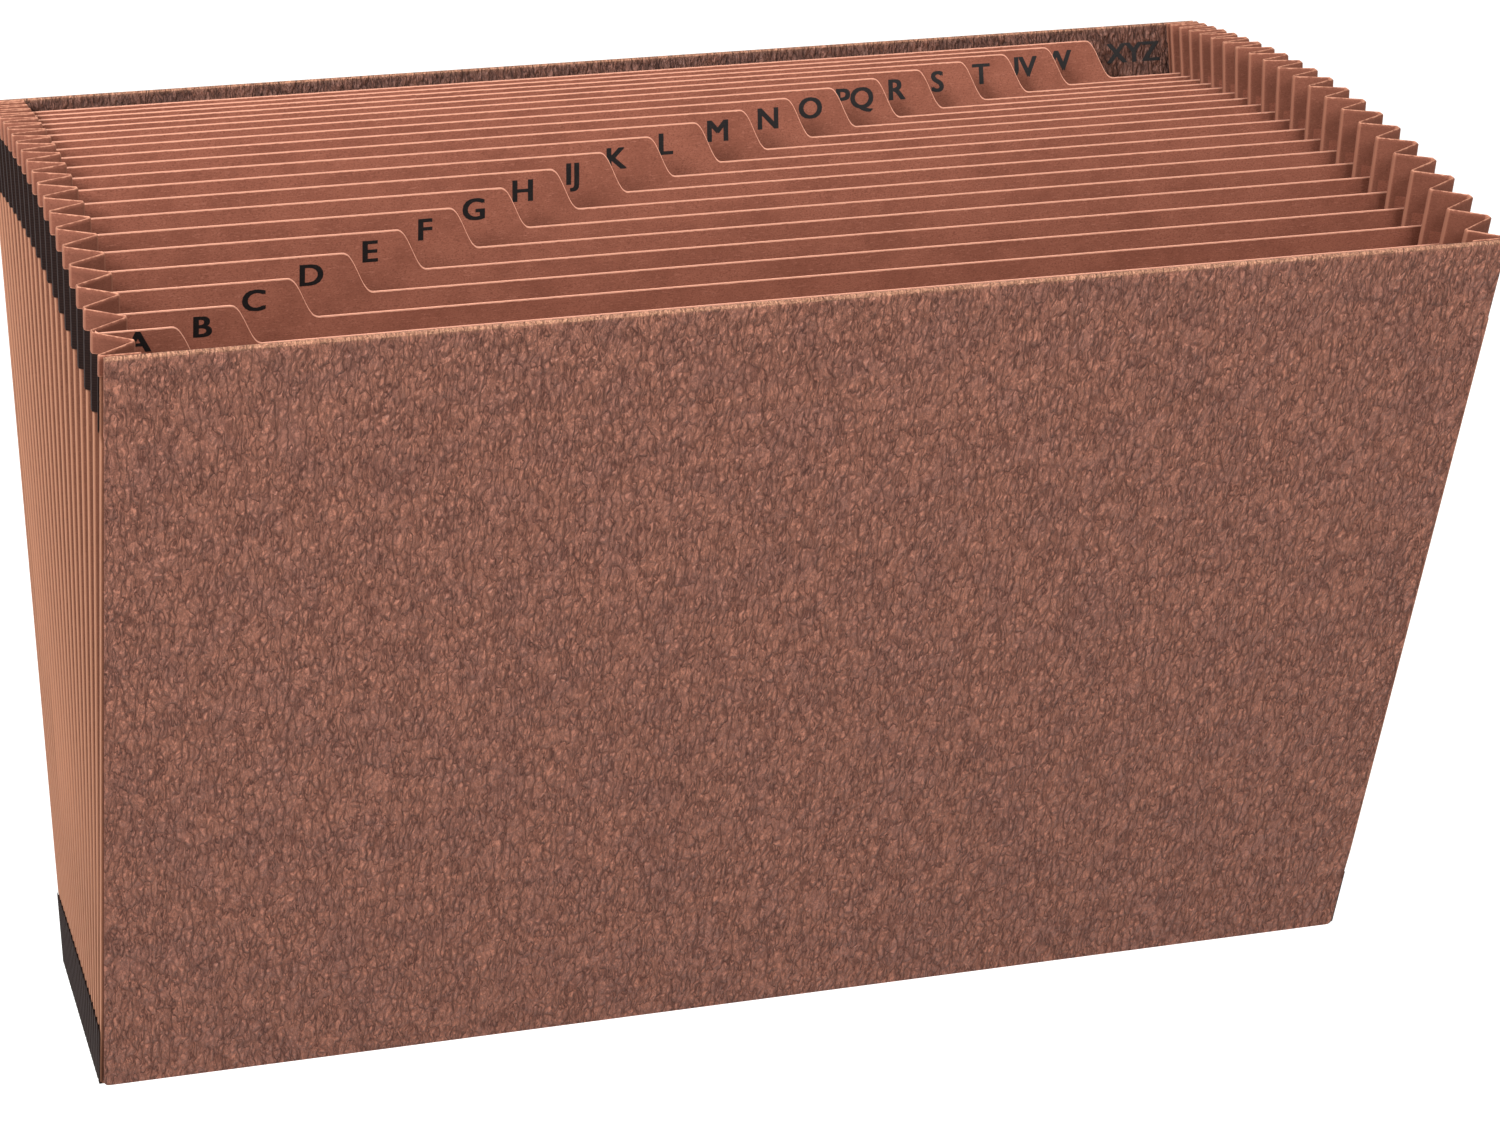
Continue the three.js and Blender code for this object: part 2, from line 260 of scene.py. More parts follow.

# %% [markdown]
# ## Effects that several materials share
#
# Paper shows fine fibres and soft blotches wherever it is used, so that effect is one node group
# with named inputs. It reads Object coordinates, which stay on the sheet whatever the camera
# does. The leather grain is a second group: cells stretched upwards and bent by noise, with
# creases between them and long winding folds across them. The creases are darkened in colour,
# partly the grain's own dark and partly painted shade in the recesses.

# %% Paper fibres as a node group
def new_group(name, inputs, outputs):
    """An empty shader node group with named sockets."""
    group = bpy.data.node_groups.new(name, "ShaderNodeTree")
    for label, kind, value in inputs:
        socket = group.interface.new_socket(label, in_out="INPUT", socket_type=kind)
        if value is not None:
            socket.default_value = value
    for label, kind in outputs:
        group.interface.new_socket(label, in_out="OUTPUT", socket_type=kind)
    return group, put(group, "NodeGroupInput").outputs, put(group, "NodeGroupOutput").inputs


def noise(tree, place, scale, detail=3.0, roughness=0.55):
    node = put(tree, "ShaderNodeTexNoise")
    feed(tree, node.inputs["Vector"], place)
    node.inputs["Scale"].default_value = scale
    node.inputs["Detail"].default_value = detail
    node.inputs["Roughness"].default_value = roughness
    return node.outputs["Fac"]


def stretched(tree, place, scale):
    node = put(tree, "ShaderNodeMapping")
    feed(tree, node.inputs["Vector"], place)
    node.inputs["Scale"].default_value = scale
    return node.outputs["Vector"]


def off_middle(tree, value):
    """How far a noise is from its middle: near 0 along thin winding lines."""
    return calc(tree, "ABSOLUTE", calc(tree, "SUBTRACT", value, 0.5))


COLOR, FLOAT = "NodeSocketColor", "NodeSocketFloat"


def make_fibre_group():
    group, given, result = new_group(
        "paper_fibres",
        [("Paper", COLOR, (0.4, 0.15, 0.1, 1)), ("Fibre", COLOR, (0.5, 0.22, 0.15, 1)),
         ("Shade", COLOR, (0.3, 0.1, 0.07, 1)), ("Strength", FLOAT, 1.0)],
        [("Color", COLOR), ("Height", FLOAT)],
    )
    place = put(group, "ShaderNodeTexCoord").outputs["Object"]
    blotch = ramp(group, noise(group, place, 60, 5, 0.65), 0.38, 0.66)
    fine = noise(group, stretched(group, place, (0.35, 1, 1.6)), 1500, 4, 0.7)
    speck = noise(group, stretched(group, place, (0.6, 1, 1)), 3200, 2, 0.6)
    light = calc(group, "MULTIPLY", ramp(group, fine, 0.5, 0.78), given["Strength"])
    dark = calc(group, "MULTIPLY", ramp(group, speck, 0.52, 0.3), given["Strength"])
    base = mix_colors(group, calc(group, "MULTIPLY", blotch, 0.42), given["Paper"], given["Shade"])
    toned = mix_colors(group, light, base, given["Fibre"])
    toned = mix_colors(group, calc(group, "MULTIPLY", dark, 0.8), toned, given["Shade"])
    feed(group, result["Color"], toned)
    feed(group, result["Height"], calc(group, "ADD", fine, calc(group, "MULTIPLY", speck, 0.5)))
    return group


fibres = make_fibre_group()
print("Group:", fibres.name, "with", len(fibres.nodes), "nodes")

# %% Leather grain as a node group
GRAIN_BEND = 1.7 * MM


def make_grain_group():
    group, given, result = new_group(
        "leather_grain",
        [("Ridge", COLOR, (0.3, 0.15, 0.1, 1)), ("Crease", COLOR, (0.1, 0.04, 0.03, 1)),
         ("Dusty", COLOR, (0.25, 0.14, 0.12, 1)), ("Cell", FLOAT, 500.0)],
        [("Color", COLOR), ("Height", FLOAT), ("Crease", FLOAT)],
    )
    place = put(group, "ShaderNodeTexCoord").outputs["Object"]
    sway = put(group, "ShaderNodeTexNoise")
    feed(group, sway.inputs["Vector"], place)
    sway.inputs["Scale"].default_value = 260
    sway.inputs["Detail"].default_value = 2
    centred = put(group, "ShaderNodeVectorMath", operation="SUBTRACT")
    feed(group, centred.inputs[0], sway.outputs["Color"])
    centred.inputs[1].default_value = (0.5, 0.5, 0.5)
    bend = put(group, "ShaderNodeVectorMath", operation="SCALE")
    feed(group, bend.inputs[0], centred.outputs[0])
    bend.inputs["Scale"].default_value = GRAIN_BEND
    bent = put(group, "ShaderNodeVectorMath", operation="ADD")
    feed(group, bent.inputs[0], place)
    feed(group, bent.inputs[1], bend.outputs[0])
    tall = stretched(group, bent.outputs[0], (1, 0.3, 0.4))
    cells = put(group, "ShaderNodeTexVoronoi", feature="DISTANCE_TO_EDGE")
    feed(group, cells.inputs["Vector"], tall)
    feed(group, cells.inputs["Scale"], given["Cell"])
    patches = noise(group, stretched(group, place, (1, 1, 0.6)), 330, 2)
    open_share = ramp(group, patches, 0.32, 0.62, 0.3, 1.0)
    distance = cells.outputs["Distance"]
    pits = calc(group, "MULTIPLY", ramp(group, distance, 0.17, 0.02), open_share)
    winding = noise(group, stretched(group, bent.outputs[0], (1, 0.3, 0.26)), 400, 2, 0.5)
    seam = off_middle(group, winding)
    folds = ramp(group, seam, 0.035, 0.0)
    wrinkle = off_middle(group, noise(group, tall, 1300, 2, 0.5))
    thin = calc(group, "MULTIPLY", ramp(group, wrinkle, 0.06, 0.0), 0.5)
    crease = calc(group, "MAXIMUM", folds, calc(group, "MULTIPLY", pits, 0.75))
    crease = calc(group, "MAXIMUM", crease, thin)
    speckle = noise(group, place, 2300, 2, 0.6)
    hue = ramp(group, noise(group, place, 95, 3), 0.4, 0.66)
    ridge = mix_colors(group, calc(group, "MULTIPLY", hue, 0.55), given["Ridge"], given["Dusty"])
    ridge = mix_colors(group, ramp(group, speckle, 0.5, 0.78, 0.0, 0.5), ridge, given["Crease"])
    # Painted shade: the creases darken the colour, partly the grain's own dark and partly shade in
    # the recesses.
    shaded = calc(group, "MULTIPLY", crease, 0.85)
    feed(group, result["Color"], mix_colors(group, shaded, ridge, given["Crease"]))
    dome = calc(group, "MULTIPLY", ramp(group, distance, 0.0, 0.32), open_share)
    lift = calc(group, "SUBTRACT", dome, calc(group, "MULTIPLY", thin, 0.5))
    lift = calc(group, "MULTIPLY_ADD", ramp(group, seam, 0.0, 0.09), 0.7, lift)
    feed(group, result["Height"], calc(group, "MULTIPLY_ADD", speckle, 0.22, lift))
    feed(group, result["Crease"], crease)
    return group


grain = make_grain_group()
print("Group:", grain.name, "with", len(grain.nodes), "nodes")

# %% [markdown]
# ## Materials
#
# A material is one Principled BSDF fed by those groups. Values that are the same all over, such
# as the specular level, are set on the shader's own sockets. The paper's cut edge is paler than
# its face, so the paper reads an attribute that says how far each point is from the cut edge.

# %% Start a material
def start_material(name, roughness, specular=0.3):
    material = bpy.data.materials.new(name)
    material.use_nodes = True
    tree = material.node_tree
    shader = tree.nodes["Principled BSDF"]
    shader.inputs["Roughness"].default_value = roughness
    shader.inputs["Specular IOR Level"].default_value = specular
    return material, tree, shader


def place_group(tree, group, **values):
    node = put(tree, "ShaderNodeGroup", node_tree=group)
    for name, value in values.items():
        feed(tree, node.inputs[name], value)
    return node.outputs


def add_bump(tree, shader, height, distance, strength=1.0):
    bump = put(tree, "ShaderNodeBump")
    bump.inputs["Distance"].default_value = distance
    bump.inputs["Strength"].default_value = strength
    feed(tree, bump.inputs["Height"], height)
    feed(tree, shader.inputs["Normal"], bump.outputs["Normal"])


def attribute(tree, name):
    return put(tree, "ShaderNodeAttribute", attribute_name=name).outputs["Fac"]


print("Material helpers ready")

# %% Paper, with its pale cut edge and painted light on its folds
CUT_EDGE, EDGE_RAGGED = 0.34 * MM, 0.3 * MM
EDGE_FADE_FROM, EDGE_FADE_TO = CUT_EDGE + 0.25 * MM, CUT_EDGE + 0.1 * MM


def make_paper(name, paper, fibre, shade, edge, edge_share=1.0, fold=None):
    """Paper with a cut edge. With fold, a colour, the places marked crease are painted with it:
    painted light on the pleat folds, against the darker panels between them.
    """
    material, tree, shader = start_material(name, 0.85, 0.2)
    made = place_group(tree, fibres, Paper=paper, Fibre=fibre, Shade=shade, Strength=0.85)
    ragged = noise(tree, put(tree, "ShaderNodeTexCoord").outputs["Object"], 700, 2)
    far = calc(tree, "MULTIPLY_ADD", ragged, EDGE_RAGGED, attribute(tree, "edge"))
    at_edge = ramp(tree, far, EDGE_FADE_FROM, EDGE_FADE_TO, 0.0, edge_share)
    colour = made["Color"]
    if fold:
        # Painted light: the pleat folds are painted paler than the panels between them.
        painted_fold_light = ramp(tree, attribute(tree, "crease"), 0.25, 0.95)
        colour = mix_colors(tree, painted_fold_light, colour, fold)
    feed(tree, shader.inputs["Base Color"], mix_colors(tree, at_edge, colour, edge))
    add_bump(tree, shader, made["Height"], 0.05 * MM, 0.5)
    return material


# The last colour of the two gusset papers is painted light for their pleat folds.
divider_paper = make_paper("divider_paper", srgb(150, 91, 72), srgb(174, 113, 93),
                           srgb(111, 61, 46), srgb(230, 166, 140))
# Painted shade: the inside of the gussets is the index sheets' paper, given darker colours for the
# shade in the pockets.
shaded_inner_paper = make_paper("shaded_inner_gusset_paper", srgb(132, 80, 63), srgb(154, 99, 80),
                         srgb(105, 60, 45), srgb(208, 148, 121), 0.85, srgb(158, 104, 83))
gusset_paper = make_paper("gusset_paper", srgb(126, 79, 60), srgb(148, 96, 74),
                          srgb(98, 58, 43), srgb(200, 146, 118), 0.8, srgb(182, 128, 101))
print("Paper materials:", divider_paper.name, gusset_paper.name)

# %% Leather-grained cover sheet
WORN_LEATHER, GRAIN_RELIEF = srgb(206, 152, 120), 0.9 * MM


def make_leather(name, ridge, crease, dusty):
    material, tree, shader = start_material(name, 0.5, 0.32)
    made = place_group(tree, grain, Ridge=ridge, Crease=crease, Dusty=dusty, Cell=540)
    place = put(tree, "ShaderNodeTexCoord").outputs["Object"]
    speckle = ramp(tree, noise(tree, place, 1900, 3, 0.7), 0.42, 0.62)
    worn = ramp(tree, attribute(tree, "fold"), 0.25, 0.9)
    worn = calc(tree, "MULTIPLY", worn, calc(tree, "MULTIPLY_ADD", speckle, 0.6, 0.3))
    colour = mix_colors(tree, worn, made["Color"], WORN_LEATHER)
    feed(tree, shader.inputs["Base Color"], colour)
    rough = calc(tree, "MULTIPLY_ADD", made["Crease"], 0.3, 0.47)
    feed(tree, shader.inputs["Roughness"], rough)
    add_bump(tree, shader, made["Height"], GRAIN_RELIEF)
    return material


# The crease colours are partly the grain's own dark and partly painted shade in its recesses.
cover_leather = make_leather("cover_leather", srgb(174, 114, 92), srgb(80, 41, 31),
                             srgb(154, 103, 88))
# Painted shade: the hem is the cover's own leather turned to the inside, given darker colours for
# the shade it lies in.
shaded_hem_leather = make_leather("shaded_hem_leather", srgb(128, 84, 69), srgb(52, 28, 22),
                           srgb(108, 75, 65))
print("Leather:", cover_leather.name, shaded_hem_leather.name)

# %% Dark tape and printing ink
def make_tape(name):
    material, tree, shader = start_material(name, 0.85, 0.12)
    place = put(tree, "ShaderNodeTexCoord").outputs["Object"]
    thread = put(tree, "ShaderNodeTexWave", wave_type="BANDS", bands_direction="Z")
    feed(tree, thread.inputs["Vector"], place)
    thread.inputs["Scale"].default_value = 420
    thread.inputs["Distortion"].default_value = 1.5
    mottle = noise(tree, place, 900, 3, 0.6)
    share = calc(tree, "MULTIPLY", mottle, 0.6)
    share = calc(tree, "MULTIPLY_ADD", thread.outputs["Fac"], 0.4, share)
    colour = mix_colors(tree, share, srgb(22, 13, 12), srgb(50, 34, 30))
    feed(tree, shader.inputs["Base Color"], colour)
    add_bump(tree, shader, share, 0.05 * MM, 0.6)
    return material


def make_ink(name):
    material, tree, shader = start_material(name, 0.6, 0.3)
    place = put(tree, "ShaderNodeTexCoord").outputs["Object"]
    patchy = ramp(tree, noise(tree, place, 2200, 2), 0.45, 0.8)
    colour = mix_colors(tree, patchy, srgb(14, 10, 10), srgb(36, 26, 24))
    feed(tree, shader.inputs["Base Color"], colour)
    return material


dark_tape = make_tape("dark_tape")
black_ink = make_ink("black_ink")
print("Materials so far:", len(bpy.data.materials))

# %% [markdown]
# ## The rule of the fan
#
# The file stands open like a fan. Leaf 0 is the front cover, leaf 21 the back cover, and each
# index sheet is a leaf between them with its own lean. These few functions give the lean and any
# point of a leaf; they repeat the CAD model's numbers, so that each visible sheet lies where its
# solid is.

# %% Lean and place of a leaf
POCKETS = 21
PITCH = 3.4 * MM
FRONT_LEAN, BACK_LEAN, BOW, SKEW = -15.5, 18, 3, -6
HALF_FILE = 190.7 * MM
CENTRE_SHIFT = -5.3397 * MM


def lean(k):
    u = k / POCKETS
    bow = BOW * 4 * u * (1 - u)
    skew = SKEW * u * (1 - u) * (1 - 2 * u)
    return math.radians(FRONT_LEAN + (BACK_LEAN - FRONT_LEAN) * u + bow + skew)


def leaf_back(k):
    """How far back the foot of leaf k stands."""
    return PITCH * (k - POCKETS / 2) + CENTRE_SHIFT


def leaf_point(k, s):
    """[back, up] of leaf k at height s along it, also between two leaves."""
    low = math.floor(k)
    share = k - low
    back = leaf_back(k) + s * (math.sin(lean(low)) * (1 - share) + math.sin(lean(low + 1)) * share)
    up = s * (math.cos(lean(low)) * (1 - share) + math.cos(lean(low + 1)) * share)
    return back, up


print("Lean of the covers:", [round(math.degrees(lean(k)), 1) for k in (0, POCKETS)], "degrees")

# %% [markdown]
# ## Covers
#
# Each cover is one stiff sheet whose top edge is folded over to the inside. A sweep is the
# natural way to draw it: the section through the fold is a short list of points, and it is
# repeated across the width. The fold's roundness gets its own attribute, because the grain is
# rubbed pale there.

# %% Finish any mesh as a piece
def make_piece(name, points, faces, materials, attributes=(), indices=None):
    """An object at the origin, from points in metres."""
    mesh = bpy.data.meshes.new(name)
    mesh.from_pydata([tuple(p) for p in points], [], faces)
    for material in materials:
        mesh.materials.append(material)
    for label, values in attributes:
        layer = mesh.attributes.new(label, "FLOAT", "POINT")
        layer.data.foreach_set("value", values)
    if indices:
        mesh.polygons.foreach_set("material_index", indices)
    piece = bpy.data.objects.new(name, mesh)
    bpy.context.scene.collection.objects.link(piece)
    return piece


def settle(piece, node):
    """The piece rides on the file and takes the place of its CAD node."""
    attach(piece, "root")
    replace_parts(piece, node)
    return len(piece.data.polygons)


def face_outward(piece):
    work = bmesh.new()
    work.from_mesh(piece.data)
    bmesh.ops.remove_doubles(work, verts=work.verts, dist=1e-7)
    bmesh.ops.recalc_face_normals(work, faces=work.faces)
    work.to_mesh(piece.data)
    work.free()


print("Piece helpers ready")

# %% Sweep the covers
COVER_WIDTH, COVER_HEIGHT, COVER_SHEET = 379 * MM, 257 * MM, 0.7 * MM
HEM_DEPTH, HEM_GAP, CORNER = 25 * MM, 0.1 * MM, 1.6 * MM
COVER_OUTER = 2 * COVER_SHEET + HEM_GAP
COVER_SET_OUT = 0.6 * MM
FOLD_WEAR, FOLD_STEPS, CORNER_STEPS, SPANS = 2.2 * MM, 8, 6, 6
HEM_FACES = (FOLD_STEPS + 2, FOLD_STEPS + 3)
INNER_FACES = 4


def cover_section(rest):
    """[depth, height, fold wear] round the folded sheet, from the outside foot over the top."""
    turn = COVER_OUTER / 2
    centre = COVER_HEIGHT - turn
    section = [(COVER_OUTER, rest, 0), (COVER_OUTER, centre - FOLD_WEAR, 0)]
    section.append((COVER_OUTER, centre, 0.5))
    for i in range(1, FOLD_STEPS):
        angle = math.pi * i / FOLD_STEPS
        section.append((turn + turn * math.cos(angle), centre + turn * math.sin(angle), 1))
    section += [(0, centre, 0.5), (0, centre - FOLD_WEAR, 0)]
    section.append((0, COVER_HEIGHT - HEM_DEPTH, 0))
    section += [(COVER_SHEET, COVER_HEIGHT - HEM_DEPTH, 0), (COVER_SHEET, centre, 0)]
    section += [(COVER_OUTER - COVER_SHEET, centre, 0), (COVER_OUTER - COVER_SHEET, rest, 0)]
    return section


def make_cover(name, k, facing):
    """The cover on leaf k. facing is -1 when its outside looks to the front, 1 to the back."""
    tilt = lean(k)
    section = cover_section((COVER_OUTER + COVER_SET_OUT) * abs(math.tan(tilt)))
    half = COVER_WIDTH / 2
    arc = [(half - CORNER * (1 - math.sin(a)), CORNER * (1 - math.cos(a)))
           for a in (math.pi / 2 * i / CORNER_STEPS for i in range(CORNER_STEPS + 1))]
    inner = [(x * half / SPANS, 0) for x in range(2 - SPANS, SPANS - 1)]
    across = [(-x, rise) for x, rise in reversed(arc)] + inner + arc
    across.sort(key=lambda pair: pair[0])
    points, wear, around = [], [], len(section)
    for x, rise in across:
        for i, (depth, s, worn) in enumerate(section):
            height = s + rise if i in (0, around - 1) else s
            out = facing * (depth + COVER_SET_OUT)
            points.append((x, leaf_back(k) + height * math.sin(tilt) + out * math.cos(tilt),
                           height * math.cos(tilt) - out * math.sin(tilt)))
            wear.append(worn)
    faces, indices = [], []
    for j in range(len(across) - 1):
        for i in range(around):
            following = (i + 1) % around
            faces.append((j * around + i, (j + 1) * around + i,
                          (j + 1) * around + following, j * around + following))
            indices.append(1 if i >= around - INNER_FACES else 2 if i in HEM_FACES else 0)
    last = (len(across) - 1) * around
    faces.append(tuple(range(around)))
    faces.append(tuple(last + i for i in reversed(range(around))))
    indices += [0, 0]
    return make_piece(name, points, faces, [cover_leather, divider_paper, shaded_hem_leather],
                      [("fold", wear), ("edge", [1.0] * len(points))], indices)


for name, k, facing in (("front_cover", 0, -1), ("back_cover", POCKETS, 1)):
    cover = make_cover(name + "_sheet", k, facing)
    face_outward(cover)
    print(name, "faces:", settle(cover, name))

# %% [markdown]
# ## Index sheets
#
# Twenty sheets follow one rule, so Geometry Nodes make them: a flat grid is bent to the leaf's
# lean, its top row follows the tab's step, and its outermost columns turn back as the glued
# flaps. The sheet's sizes are named inputs. Solidify then gives the paper its thickness.

# %% Sizes of an index sheet
SHEET = 0.3 * MM
SHEET_TOP, FIRST_RISE, TAB_DROP = 254 * MM, 2 * MM, 12 * MM
FIRST_FOOT, TAB_PITCH, STEP_RUN = -161.7 * MM, 16.86 * MM, 9.3 * MM
HALF_SHEET_WIDTH = 189.6 * MM
PANEL, FOLD_INSET, FOLD_BACK, INNER_HALF = 10.2 * MM, 0.55 * MM, 0.95 * MM, 0.65 * MM
FLAP_OFFSET, FLAP_REACH, FLAP_AWAY = 0.4 * MM, 8.4 * MM, 0.55 * MM
LEFT_FLAP_DROP, RIGHT_FLAP_RISE, SHEET_FOOT, FLAP_FOOT = 2.7 * MM, 2 * MM, 0.95 * MM, 9.35 * MM
COLUMNS, FLAP_COLUMNS, ROWS = 211, 5, 12
FLAP_PLAIN = 4 * MM
RIPPLE_ACROSS, RIPPLE_UP, RIPPLE_SEED = 9.0, 3.0, 3.7
names = "a b c d e f g h ij k l m n o pq r s t uv w".split()
print("Index sheets:", len(names))

# %% The tree that bends a grid into an index sheet
def new_tree(name, inputs):
    tree = bpy.data.node_groups.new(name, "GeometryNodeTree")
    tree.interface.new_socket("Geometry", in_out="OUTPUT", socket_type="NodeSocketGeometry")
    for label, kind, value in inputs:
        socket = tree.interface.new_socket(label, in_out="INPUT", socket_type=kind)
        if value is not None:
            socket.default_value = value
    return tree, put(tree, "NodeGroupInput").outputs, put(tree, "NodeGroupOutput").inputs


def make_sheet_tree():
    tree, given, result = new_tree("index_sheet", [
        ("Lean", FLOAT, 0.0), ("Lean Behind", FLOAT, 0.0), ("Foot Line", FLOAT, 0.0),
        ("Tab Foot", FLOAT, 0.0), ("Sheet Top", FLOAT, SHEET_TOP), ("Tab Drop", FLOAT, TAB_DROP),
        ("Left Flap Top", FLOAT, 0.25), ("Right Flap Top", FLOAT, 0.24),
        ("Half Width", FLOAT, HALF_SHEET_WIDTH), ("Wave", FLOAT, 0.5 * MM), ("Seed", FLOAT, 0.0),
        ("Paper", "NodeSocketMaterial", None)])

    def c(operation, *values, clamp=False):
        return calc(tree, operation, *values, clamp=clamp)

    def between(share, first, second):
        return c("MULTIPLY_ADD", c("SUBTRACT", second, first), share, first)

    grid = put(tree, "GeometryNodeMeshGrid")
    for label, value in (("Size X", 1), ("Size Y", 1),
                         ("Vertices X", COLUMNS), ("Vertices Y", ROWS)):
        grid.inputs[label].default_value = value
    place = put(tree, "ShaderNodeSeparateXYZ")
    feed(tree, place.inputs[0], put(tree, "GeometryNodeInputPosition").outputs[0])
    column = c("MULTIPLY", c("ADD", place.outputs["X"], 0.5), COLUMNS - 1)
    row = c("ADD", place.outputs["Y"], 0.5)
    last = COLUMNS - 1 - FLAP_COLUMNS
    left = c("MAXIMUM", c("SUBTRACT", FLAP_COLUMNS, column), 0.0)
    right = c("MAXIMUM", c("SUBTRACT", column, last), 0.0)
    turned = c("MINIMUM", c("ADD", left, right), 1.0)
    along_flap = c("DIVIDE", c("MAXIMUM", c("SUBTRACT", c("ADD", left, right), 1.0), 0.0),
                   FLAP_COLUMNS - 1)
    across = c("DIVIDE", c("SUBTRACT", column, FLAP_COLUMNS), last - FLAP_COLUMNS, clamp=True)
    t = c("MULTIPLY_ADD", across, 2.0, -1.0)
    side = c("SIGN", t)
    far = c("ABSOLUTE", t)
    spread = c("MULTIPLY_ADD", c("POWER", far, 3.0), 0.8, c("MULTIPLY", far, 0.2))
    reach = c("SUBTRACT", c("MULTIPLY", side, given["Half Width"]), given["Tab Foot"])
    x = c("MULTIPLY_ADD", spread, reach, given["Tab Foot"])
    low = c("SUBTRACT", given["Sheet Top"], given["Tab Drop"])
    past_foot = c("SUBTRACT", x, given["Tab Foot"])
    step = ramp(tree, past_foot, -STEP_RUN, 0.0, 1.0, 0.0, "SMOOTHERSTEP")
    main_top = c("MULTIPLY_ADD", step, given["Tab Drop"], low)
    on_right = c("GREATER_THAN", t, 0.0)
    flap_top = between(on_right, given["Left Flap Top"], given["Right Flap Top"])
    top = between(turned, main_top, flap_top)
    foot = between(along_flap, SHEET_FOOT, FLAP_FOOT)
    s = between(row, foot, top)
    sin_front, cos_front = c("SINE", given["Lean"]), c("COSINE", given["Lean"])
    sin_back, cos_back = c("SINE", given["Lean Behind"]), c("COSINE", given["Lean Behind"])
    opening = c("MULTIPLY_ADD", c("SUBTRACT", sin_back, sin_front), s, PITCH)
    run = c("SUBTRACT", c("MULTIPLY", opening, 0.5), FOLD_BACK + INNER_HALF)
    slope = c("DIVIDE", run, PANEL)
    depth = c("SQRT", c("SUBTRACT", 1.0, c("MULTIPLY", slope, slope)))
    end_back = c("SUBTRACT", c("MULTIPLY_ADD", slope, FLAP_REACH, FOLD_BACK),
                 c("MULTIPLY", depth, FLAP_AWAY))
    end_inset = c("MULTIPLY_ADD", slope, FLAP_AWAY, FOLD_INSET)
    end_inset = c("MULTIPLY_ADD", depth, FLAP_REACH, end_inset)
    back = between(along_flap, c("MULTIPLY", turned, FLAP_OFFSET), end_back)
    inward = between(along_flap, HALF_FILE - HALF_SHEET_WIDTH, end_inset)
    flap_x = c("MULTIPLY", side, c("SUBTRACT", HALF_FILE, inward))
    x = between(turned, x, flap_x)
    share = c("MULTIPLY", along_flap, 0.5 * FLAP_REACH / PANEL)
    ripple = put(tree, "ShaderNodeTexNoise", noise_dimensions="4D")
    spot = put(tree, "ShaderNodeCombineXYZ")
    feed(tree, spot.inputs["X"], c("MULTIPLY", x, RIPPLE_ACROSS))
    feed(tree, spot.inputs["Z"], c("MULTIPLY", s, RIPPLE_UP))
    feed(tree, ripple.inputs["Vector"], spot.outputs[0])
    feed(tree, ripple.inputs["W"], given["Seed"])
    ripple.inputs["Scale"].default_value = 1.0
    rise = c("POWER", c("DIVIDE", s, given["Sheet Top"]), 2.0)
    free = c("MULTIPLY", rise, c("SUBTRACT", 1.0, c("POWER", far, 4.0)))
    push = c("MULTIPLY", c("MULTIPLY", c("SUBTRACT", ripple.outputs["Fac"], 0.5), 2.0),
             c("MULTIPLY", free, given["Wave"]))
    y = c("ADD", c("MULTIPLY_ADD", s, sin_front, given["Foot Line"]), c("ADD", back, push))
    z = c("MULTIPLY", s, between(share, cos_front, cos_back))
    spot = put(tree, "ShaderNodeCombineXYZ")
    for label, value in (("X", x), ("Y", y), ("Z", z)):
        feed(tree, spot.inputs[label], value)
    store = put(tree, "GeometryNodeStoreNamedAttribute", data_type="FLOAT", domain="POINT")
    store.inputs["Name"].default_value = "edge"
    feed(tree, store.inputs["Geometry"], grid.outputs["Mesh"])
    feed(tree, store.inputs["Value"], c("MULTIPLY_ADD", turned, FLAP_PLAIN, c("SUBTRACT", top, s)))
    bend = put(tree, "GeometryNodeSetPosition")
    feed(tree, bend.inputs["Geometry"], store.outputs[0])
    feed(tree, bend.inputs["Position"], spot.outputs[0])
    real = put(tree, "GeometryNodeRealizeInstances")
    feed(tree, real.inputs[0], bend.outputs[0])
    finish = put(tree, "GeometryNodeSetMaterial")
    feed(tree, finish.inputs["Geometry"], real.outputs[0])
    feed(tree, finish.inputs["Material"], given["Paper"])
    feed(tree, result["Geometry"], finish.outputs[0])
    return tree


sheet_tree = make_sheet_tree()
print("Tree:", sheet_tree.name, "with", len(sheet_tree.nodes), "nodes")

# %% Run the tree once for each leaf
def made_solid(name, carrier, thickness):
    """The carrier's shape with a thickness, as a plain mesh object. The carrier goes.
    A second material goes on the side that the faces turn their backs to."""
    solid = carrier.modifiers.new("thickness", "SOLIDIFY")
    solid.material_offset = max(len(carrier.data.materials) - 1, 0)
    solid.thickness = thickness
    solid.offset = 0
    solid.use_even_offset = True
    bpy.context.view_layer.update()
    evaluated = carrier.evaluated_get(bpy.context.evaluated_depsgraph_get())
    mesh = bpy.data.meshes.new_from_object(evaluated)
    mesh.name = name
    bpy.data.objects.remove(carrier)
    piece = bpy.data.objects.new(name, mesh)
    bpy.context.scene.collection.objects.link(piece)
    return piece


def run_tree(name, tree, values, thickness):
    """The tree's result for these named values, made solid."""
    carrier = bpy.data.objects.new(name + "_carrier", bpy.data.meshes.new(name + "_carrier"))
    bpy.context.scene.collection.objects.link(carrier)
    nodes = carrier.modifiers.new("shape", "NODES")
    nodes.node_group = tree
    for item in tree.interface.items_tree:
        if item.in_out == "INPUT" and item.name in values:
            nodes[item.identifier] = values[item.name]
    return made_solid(name, carrier, thickness)


